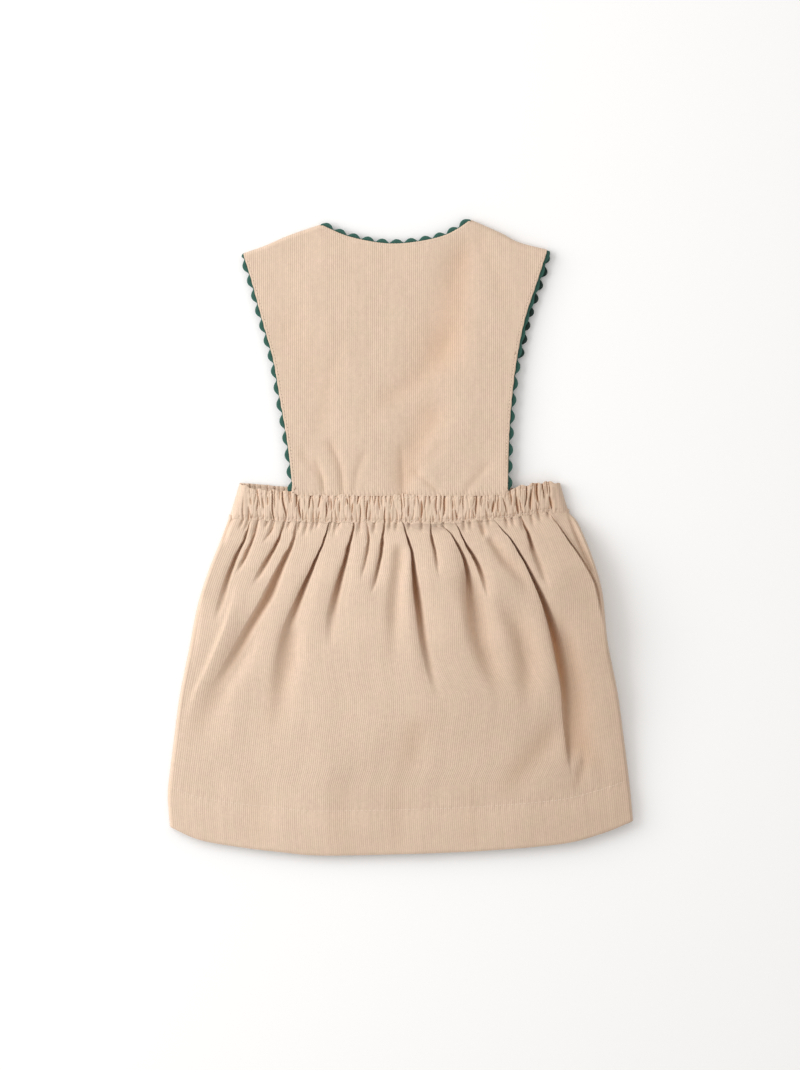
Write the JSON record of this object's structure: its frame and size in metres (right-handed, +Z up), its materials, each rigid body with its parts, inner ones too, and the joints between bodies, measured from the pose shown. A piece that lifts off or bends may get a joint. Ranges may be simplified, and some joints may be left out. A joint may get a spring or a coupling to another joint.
{
  "type": "pinafore dress",
  "caption": "Toddler's pinafore dress lying flat on its front: wide bib, ric-rac round the neck and armholes, elastic waistband, gathered skirt with a turned hem.",
  "frame": {"origin": "on the surface it lies on, under the middle of its outline", "axes": "+Z up from the surface, +Y from the hem to the shoulders, +X to the right of someone looking down at its back"},
  "size_m": [0.3074, 0.419, 0.0185],
  "materials": {
    "needlecord": "sand-beige cotton needlecord, fine lengthwise ribs, soft matt nap",
    "ric_rac": "dark green woven ric-rac braid, matt with a slight thread sheen"
  },
  "bodies": {
    "root": {"back_bib": "needlecord", "front_bib": "needlecord", "waistband_back": "needlecord", "waistband_front": "needlecord", "skirt_back": "needlecord", "skirt_front": "needlecord", "ric_rac_neck_back": "ric_rac", "ric_rac_neck_front": "ric_rac", "ric_rac_armhole_back_left": "ric_rac", "ric_rac_armhole_back_right": "ric_rac", "ric_rac_armhole_front_left": "ric_rac", "ric_rac_armhole_front_right": "ric_rac"}
  },
  "joints": []
}
